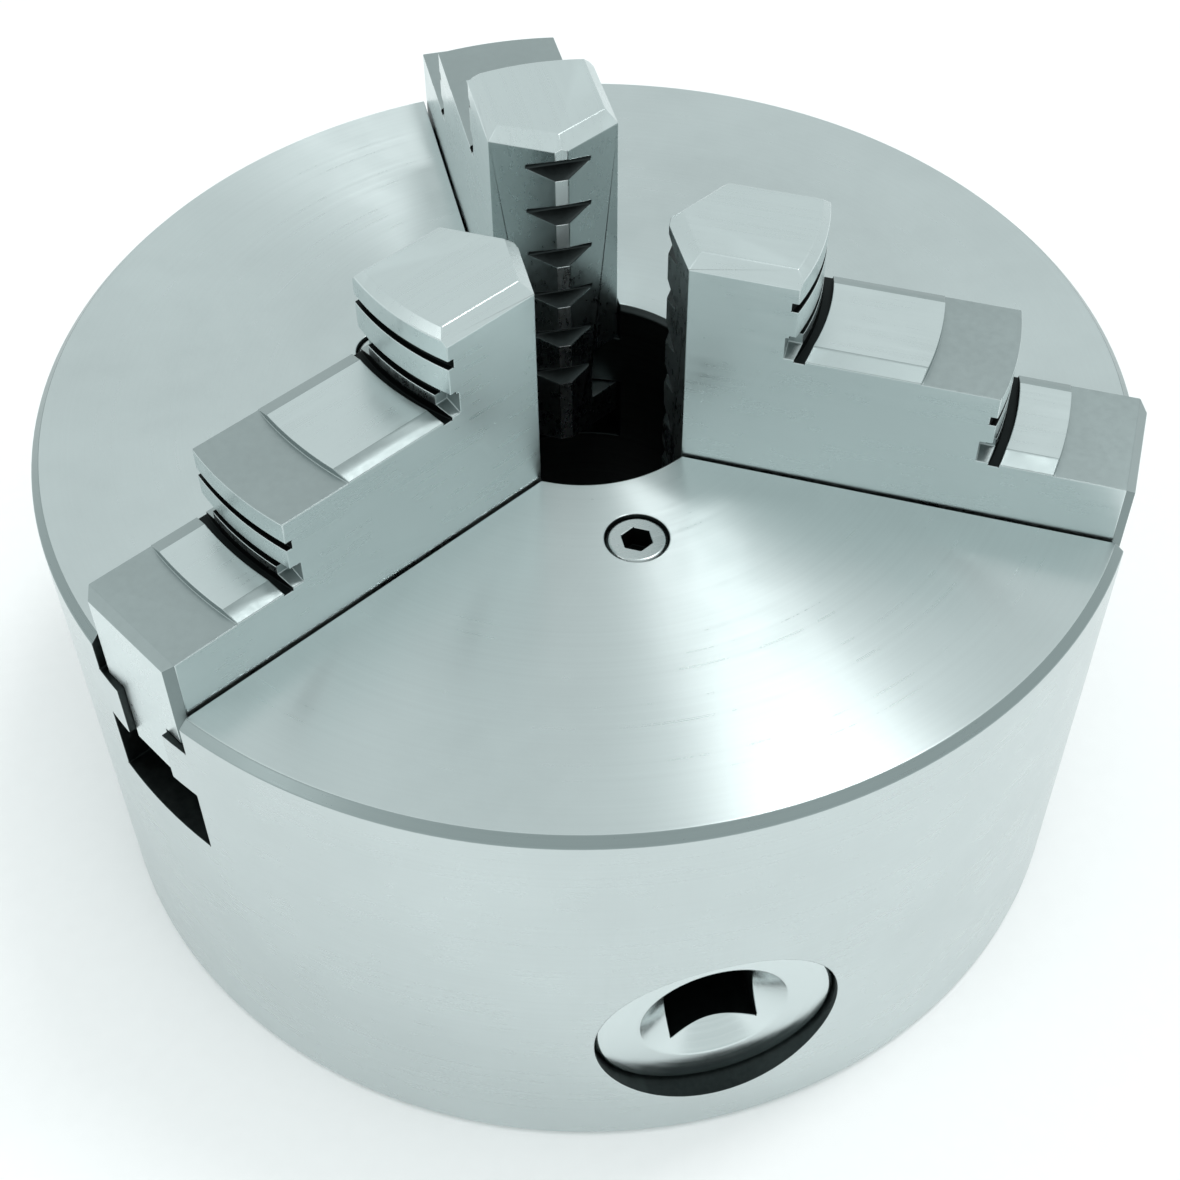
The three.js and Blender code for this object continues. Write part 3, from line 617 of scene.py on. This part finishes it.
def wall_details(wall, step_height, top_height):
    """The lines turned into a gripping wall, and the relief at its foot."""
    step = BODY_HEIGHT + step_height
    top = BODY_HEIGHT + top_height
    bands = [(-GROOVE_DEPTH, step + (top - step) * share) for share in GROOVE_SHARES]
    cutters = []
    grooves = [(near, low, low + GROOVE_HEIGHT) for near, low in bands]
    relief = (0, step - RELIEF_DEPTH, step + OVERSHOOT)
    for near, low, high in [*grooves, relief]:
        section = [(near, low), (RELIEF_WIDTH, low), (RELIEF_WIDTH, high), (near, high)]
        # The grooves and the relief are painted near black: painted shade.
        cutters.append(painted(wall_band(wall, section), recess_shade_steel))
    return cutters


def wall_lip(wall, top_height):
    top = BODY_HEIGHT + top_height
    return wall_band(wall, [(-LIP, top), (LIP, top - 2 * LIP), (LIP, top + OVERSHOOT), (-LIP, top + OVERSHOOT)])


def edge_chamfers(chamfer, height, start, end):
    width, drop = chamfer
    top = BODY_HEIGHT + height
    inner, outer = JAW_HALF_WIDTH - width, JAW_HALF_WIDTH + width
    outline = [(inner, top), (outer, top - 2 * drop), (outer, top + OVERSHOOT), (inner, top + OVERSHOOT)]
    return [prism_along_x([(side * y, z) for y, z in outline], start, end) for side in (1, -1)]


def jaw_outline(half_width, end, end_chamfer):
    shoulder = NOSE_TIP + (half_width - NOSE_FLAT) / math.tan(NOSE_HALF_ANGLE)
    half = [
        (NOSE_TIP, NOSE_FLAT),
        (shoulder, half_width),
        (end - end_chamfer, half_width),
        (end, half_width - end_chamfer),
    ]
    if not end_chamfer:
        half.pop()
    return [(x, -y) for x, y in half] + half[::-1]


def nose_chamfer():
    top = BODY_HEIGHT + TOP_HEIGHT
    wedge = [
        (-OVERSHOOT, top - NOSE_CHAMFER - OVERSHOOT),
        (NOSE_CHAMFER + OVERSHOOT, top + OVERSHOOT),
        (-OVERSHOOT, top + OVERSHOOT),
    ]
    lean = math.pi / 2 - NOSE_HALF_ANGLE
    flank = NOSE_TIP * math.cos(lean) + NOSE_FLAT * math.sin(lean)
    sides = ((0.0, NOSE_TIP), (lean, flank), (-lean, flank))
    return [
        moved(shifted(prism_across(wedge, BODY_RADIUS), x=distance), Matrix.Rotation(angle, 4, "Z"))
        for angle, distance in sides
    ]


NOTCH = {"first": 23.3, "pitch": 5.93, "count": 6, "depth": 1.7, "mouth": 2.6, "floor": 0.4}


def nose_notches():
    mouth, floor, depth = NOTCH["mouth"] / 2, NOTCH["floor"] / 2, NOTCH["depth"]
    reach = mouth + (mouth - floor) / depth * OVERSHOOT
    front, back = NOSE_TIP - OVERSHOOT, NOSE_TIP + depth
    cutters = []
    for i in range(NOTCH["count"]):
        middle = BODY_HEIGHT + NOTCH["first"] - i * NOTCH["pitch"]
        outline = [
            (front, middle - reach),
            (back, middle - floor),
            (back, middle + floor),
            (front, middle + reach),
        ]
        cutters.append(prism_across(outline, CUT_HALF_WIDTH))
    return cutters


def jaw_tooth(distance):
    lean = PITCH / (2 * math.pi) / TOOTH_RADIUS
    ys = [TOOTH_HALF_LENGTH * (2 * i / ARC_STEPS - 1) for i in range(ARC_STEPS + 1)]
    curve = [(distance + lean * y - y * y / (2 * TOOTH_RADIUS), y) for y in ys]
    half = TOOTH_THICKNESS / 2
    outline = [(x - half, y) for x, y in curve] + [(x + half, y) for x, y in reversed(curve)]
    return prism(outline, TOOTH_TIP, CAVITY_ROOF + 1)


def jaw_teeth(degrees):
    """The teeth stand where the spiral thread's groove crosses the jaw's slot."""
    first = GROOVE_START + PITCH * degrees / 360
    flank = (JAW_HALF_WIDTH - NOSE_FLAT) / math.tan(NOSE_HALF_ANGLE)
    nearest = NOSE_TIP + flank + TOOTH_THICKNESS / 2
    furthest = JAW_BASE_END - TOOTH_THICKNESS / 2
    distance = first - PITCH * math.floor((first - nearest) / PITCH)
    teeth = []
    while distance < furthest:
        teeth.append(jaw_tooth(distance))
        distance += PITCH
    return teeth


END_CORNER = JAW_END - END_CHAMFER / 2
TIP_FACING = -0.95  # the X of a normal past which a face leads the nose
FLANK_FACING = -0.8  # and past which it is one of the nose's flanks
FLANK_LEAN = 0.4  # the least share of Y in a flank's normal


def is_end_corner(at, normal):
    return abs(at.x - END_CORNER) < NEAR and abs(normal.y) > STEEP


def is_nose_tip(at, normal):
    return normal.x < TIP_FACING and at.x < NOSE_TIP + NEAR / 2


def is_nose_flank(_, normal):
    return TIP_FACING < normal.x < FLANK_FACING and abs(normal.y) > FLANK_LEAN


def jaw(degrees):
    top = BODY_HEIGHT + TOP_HEIGHT
    head = prism(jaw_outline(JAW_HALF_WIDTH, JAW_END, END_CHAMFER), RIB_TOP + RUNNING_GAP, top)
    neck = prism(jaw_outline(NECK_HALF_WIDTH, JAW_END, 0), RIB_BOTTOM - 1, RIB_TOP + 1)
    base = prism(jaw_outline(JAW_HALF_WIDTH, JAW_BASE_END, END_CHAMFER), CAVITY_ROOF, RIB_BOTTOM - RUNNING_GAP)
    blank = painted(joined(head, [neck, base, *jaw_teeth(degrees)]), ground_steel)
    end_top = BODY_HEIGHT + THIRD_STEP - PAD_RISE
    end_drop = [
        (JAW_END - END_CHAMFER, end_top),
        (JAW_END + OVERSHOOT, end_top - END_CHAMFER - OVERSHOOT),
        (JAW_END + OVERSHOOT, end_top + 1),
    ]
    ground = [
        outside(FIRST_WALL, BODY_HEIGHT + SECOND_STEP),
        outside(SECOND_WALL, BODY_HEIGHT + THIRD_STEP),
        wall_lip(FIRST_WALL, TOP_HEIGHT),
        *edge_chamfers(TOP_CHAMFER, TOP_HEIGHT, 0, FIRST_WALL[0] + OVERSHOOT),
        *nose_chamfer(),
    ]
    unground = [
        outside(FIRST_PAD_END, BODY_HEIGHT + SECOND_STEP - PAD_RISE),
        outside(SECOND_PAD_END, end_top),
        *edge_chamfers(PAD_CHAMFER, SECOND_STEP, FIRST_WALL[0] - OVERSHOOT, FIRST_PAD_END[0] + 1),
        *edge_chamfers(PAD_CHAMFER, THIRD_STEP, SECOND_WALL[0] - OVERSHOOT, SECOND_PAD_END[0] + 1),
        prism_across(end_drop, CUT_HALF_WIDTH),
    ]
    cutters = [painted(cutter, ground_steel) for cutter in ground]
    cutters += [painted(cutter, unground_steel) for cutter in unground]
    # The nose notches are painted near black: painted shadow.
    cutters += [painted(cutter, slot_shadow_steel) for cutter in nose_notches()]
    cutters += wall_details(FIRST_WALL, SECOND_STEP, TOP_HEIGHT)
    cutters += wall_details(SECOND_WALL, THIRD_STEP, SECOND_STEP - PAD_RISE)
    made = cut(blank, cutters)
    # The end chamfer gets painted shade.
    repaint(made, shaded_end_chamfer_steel, is_end_corner)
    # The nose tip land gets a painted highlight.
    repaint(made, lit_land_steel, is_nose_tip)
    # The nose flanks get painted shade.
    repaint(made, shaded_flank_steel, is_nose_flank)
    return eased(made, 0.09)


# ---- Pinions, built along X with their axis at height 0 ----

TAIL = {"radius": 5.0, "end": 20.0}
COLLAR_RADIUS = 10.7
JOURNAL_START = 42.2
STOP_GROOVE = {"start": 49.8, "end": 54.2, "radius": 10.0}
SOCKET_WIDTH = 10.0
SOCKET_DEPTH = 17.0
SOCKET_LEAN = 5.0  # degrees that the square is turned from upright
SOCKET_CONE = {"mouth": 8.5, "end": 5.0, "depth": 2.5}
GEAR_INNER = 30.4
GEAR_OUTER = 41.4
GEAR_RIM = 41.0
RING_TEETH = 54
PINION_TEETH = 12
PRESSURE_ANGLE = math.radians(25)
BACKLASH = 0.3
PINION_ADDENDUM = 0.94  # a touch short, so that the tips run clear of the scroll plate
DEDENDUM = 1.25
MODULE_AT_RIM = 2 * GEAR_RIM / RING_TEETH
PITCH_THICKNESS = math.pi * MODULE_AT_RIM / 2 - BACKLASH
PINION_PITCH_RADIUS = MODULE_AT_RIM * PINION_TEETH / 2
FLANK_STEPS = 8


def tooth_flank():
    """One side of a tooth, as (radius, half angle) points of an involute from the root to the tip."""
    base = PINION_PITCH_RADIUS * math.cos(PRESSURE_ANGLE)

    def involute(radius):
        pressure = math.acos(min(1.0, base / radius))
        return math.tan(pressure) - pressure

    at_pitch = PITCH_THICKNESS / 2 / PINION_PITCH_RADIUS + involute(PINION_PITCH_RADIUS)
    root = PINION_PITCH_RADIUS - DEDENDUM * MODULE_AT_RIM
    tip = PINION_PITCH_RADIUS + PINION_ADDENDUM * MODULE_AT_RIM
    radii = [root] + [base + (tip - base) * i / FLANK_STEPS for i in range(FLANK_STEPS + 1)]
    return [(r, at_pitch - involute(max(r, base))) for r in radii]


def bevel_gear():
    flank = tooth_flank()
    tooth = [(r, -half) for r, half in flank] + flank[::-1]
    profile = []
    for i in range(PINION_TEETH):
        middle = 2 * math.pi * (i + 0.5) / PINION_TEETH
        profile += [(r * math.cos(middle + turn), r * math.sin(middle + turn)) for r, turn in tooth]
    rings = []
    for x in (GEAR_INNER, GEAR_OUTER):
        scale = x / GEAR_RIM
        rings.append([(x, y * scale, z * scale) for y, z in profile])
    return loft("gear", rings)


def pinion():
    edge = SCREW_EDGE
    shaft = rod_along_x(
        [
            (TAIL["end"], 0),
            (TAIL["end"], TAIL["radius"] - edge),
            (TAIL["end"] + edge, TAIL["radius"]),
            (GEAR_OUTER, TAIL["radius"]),
            (GEAR_OUTER, COLLAR_RADIUS),
            (JOURNAL_START, COLLAR_RADIUS),
            (JOURNAL_START, JOURNAL_RADIUS),
            (STOP_GROOVE["start"], JOURNAL_RADIUS),
            (STOP_GROOVE["start"], STOP_GROOVE["radius"]),
            (STOP_GROOVE["end"], STOP_GROOVE["radius"]),
            (STOP_GROOVE["end"], JOURNAL_RADIUS),
            (PINION_FACE - edge, JOURNAL_RADIUS),
            (PINION_FACE, JOURNAL_RADIUS - edge),
            (PINION_FACE, 0),
        ],
        JOURNAL_SEGMENTS,
    )
    mouth, end, depth = SOCKET_CONE["mouth"], SOCKET_CONE["end"], SOCKET_CONE["depth"]
    bottom, top = PINION_FACE - depth, PINION_FACE + 1
    past = mouth + (mouth - end) / depth
    cone = rod_along_x([(bottom, 0), (bottom, end), (top, past), (top, 0)], JOURNAL_SEGMENTS)
    side = SOCKET_WIDTH / 2
    corners = [(-side, -side), (side, -side), (side, side), (-side, side)]
    socket = prism_along_x(corners, PINION_FACE - SOCKET_DEPTH, PINION_FACE + 1)
    socket = moved(socket, Matrix.Rotation(math.radians(SOCKET_LEAN), 4, "X"))
    blank = painted(joined(shaft, [bevel_gear()]), pinion_steel)
    # The square socket is painted near black: painted shade.
    return eased(cut(blank, [painted(cone, pinion_steel), painted(socket, recess_shade_steel)]), 0.12)


# ---- Fasteners, built on the Z axis at their own heights ----


def hex_socket(across, bottom, top):
    # Hex sockets are painted near black: painted shade.
    return painted(rod(across, bottom, top, 6), recess_shade_steel)


def face_screw():
    top = BODY_HEIGHT - FACE_SCREW["sunk"]
    shoulder = top - FACE_SCREW["height"]
    head, shank = FACE_SCREW["head"], FACE_SCREW["shank"]
    outline = [
        (0, FACE_SCREW["end"]),
        (shank, FACE_SCREW["end"]),
        (shank, shoulder),
        (head, shoulder),
        (head, top - SCREW_EDGE),
        (head - SCREW_EDGE, top),
        (0, top),
    ]
    made = painted(turned("screw", outline, 64), screw_steel)
    return eased(cut(made, [hex_socket(FACE_SCREW["hex"], top - FACE_SCREW["deep"], top + 1)]), 0.1)


def stop_screw():
    back, radius, point = STOP_SCREW["back"], STOP_SCREW["radius"], STOP_SCREW["point"]
    outline = [
        (0, back),
        (radius - SCREW_EDGE, back),
        (radius, back + SCREW_EDGE),
        (radius, STOP_SCREW["shoulder"]),
        (point, STOP_SCREW["shoulder"]),
        (point, STOP_SCREW["tip"]),
        (0, STOP_SCREW["tip"]),
    ]
    made = painted(turned("screw", outline, 48), screw_steel)
    return eased(cut(made, [hex_socket(STOP_SCREW["hex"], back - 1, back + STOP_SCREW["deep"])]), 0.08)


def cover_screw():
    head, shank, end = COVER_SCREW["head"], COVER_SCREW["shank"], COVER_SCREW["end"]
    back = REGISTER_DEPTH
    outline = [
        (0, back),
        (head, back),
        (shank, back + head - shank),
        (shank, end - SCREW_EDGE),
        (shank - SCREW_EDGE, end),
        (0, end),
    ]
    made = painted(turned("screw", outline, 48), screw_steel)
    return eased(cut(made, [hex_socket(COVER_SCREW["hex"], back - 1, back + COVER_SCREW["deep"])]), 0.08)


# ---- Making the pieces ----

placed(chuck_body(), "body_casting", "housing", "chuck_body")
for number, degrees in enumerate(JAW_ANGLES, 1):
    name = f"jaw_{number}"
    placed(jaw(degrees), name + "_fine", name, name, degrees=degrees)
for number, degrees in enumerate(PINION_ANGLES, 1):
    name = f"pinion_{number}"
    placed(pinion(), name + "_fine", name, name, PINION_HEIGHT, degrees)

for number, degrees in enumerate(PINION_ANGLES, 1):
    name = f"face_screw_{number}"
    made = swung(shifted(face_screw(), x=FACE_SCREW_POSITION), degrees)
    placed(made, name + "_fine", "housing", name)
    name = f"pinion_stop_screw_{number}"
    made = swung(shifted(stop_screw(), x=STOP_SCREW_POSITION), degrees)
    placed(made, name + "_fine", "housing", name)
for number, degrees in enumerate(COVER_SCREW_ANGLES, 1):
    name = f"cover_screw_{number}"
    made = swung(shifted(cover_screw(), x=COVER_SCREW_POSITION), degrees)
    placed(made, name + "_fine", "housing", name)

for node, material in (("scroll_plate", scroll_steel), ("rear_cover", cover_steel)):
    made = frame["nodes"][node]
    made.data.materials.clear()
    made.data.materials.append(material)

# ---- Studio, in metres ----

LIGHT_TARGET = (0, 0, 0.04)
FLOOR_HALF = 3.0
CAMERA_PLACE = (-0.0364, -0.1576, 0.2067)
CAMERA_TARGET = (-0.0005, -0.0042, 0.030)
CAMERA_ROLL = -0.53  # degrees
CAMERA_LENS = 57.8  # millimetres
CAMERA_SENSOR = 36  # millimetres


def aimed(made, target):
    made.rotation_mode = "QUATERNION"
    made.rotation_quaternion = (Vector(target) - made.location).to_track_quat("-Z", "Y")


def soft_light(name, azimuth, elevation, distance, size, power, colour=(1, 1, 1)):
    """An area light that faces the chuck. Azimuth 0 is at -Y, and 90 at +X."""
    data = bpy.data.lights.new(name, "AREA")
    data.shape = "RECTANGLE"
    data.size, data.size_y = size
    data.energy = power
    data.color = colour
    made = bpy.data.objects.new(name, data)
    a, e = math.radians(azimuth), math.radians(elevation)
    made.location = Vector((math.sin(a) * math.cos(e), -math.cos(a) * math.cos(e), math.sin(e))) * distance
    aimed(made, LIGHT_TARGET)
    bpy.context.scene.collection.objects.link(made)
    return made


def floor():
    half = FLOOR_HALF
    corners = [(-half, -half, 0), (half, -half, 0), (half, half, 0), (-half, half, 0)]
    mesh = bpy.data.meshes.new("floor")
    mesh.from_pydata(corners, [], [(0, 1, 2, 3)])
    made = bpy.data.objects.new("floor", mesh)
    bpy.context.scene.collection.objects.link(made)
    graph = Graph("floor_paper")
    coordinates = graph.add("ShaderNodeTexCoord").outputs["Object"]
    grain = graph.noise(coordinates, 400.0, 4.0)
    white = graph.mix(grain, (0.9, 0.905, 0.905, 1), (0.93, 0.935, 0.935, 1))
    mesh.materials.append(graph.finish(**{"Base Color": white, "Roughness": 0.9}))


def world():
    made = bpy.data.worlds.new("studio")
    bpy.context.scene.world = made
    made.use_nodes = True
    background = made.node_tree.nodes["Background"]
    background.inputs["Color"].default_value = (0.93, 1.0, 1.0, 1)
    background.inputs["Strength"].default_value = 0.8


def camera():
    data = bpy.data.cameras.new("camera")
    data.sensor_width = CAMERA_SENSOR
    data.lens = CAMERA_LENS
    made = bpy.data.objects.new("camera", data)
    made.location = CAMERA_PLACE
    look = (Vector(CAMERA_TARGET) - made.location).to_track_quat("-Z", "Y")
    roll = Matrix.Rotation(math.radians(CAMERA_ROLL), 4, "Z").to_quaternion()
    made.rotation_mode = "QUATERNION"
    made.rotation_quaternion = look @ roll
    bpy.context.scene.collection.objects.link(made)
    bpy.context.scene.camera = made


floor()
world()
soft_light("key", 100, 72, 0.9, (0.1, 0.24), 1.4)
soft_light("fill", -75, 35, 1.1, (0.5, 0.5), 0.6)
soft_light("floor_wash", 0, 75, 1.6, (1.0, 1.0), 7).visible_glossy = False
camera()
bpy.context.scene.view_settings.view_transform = "Standard"
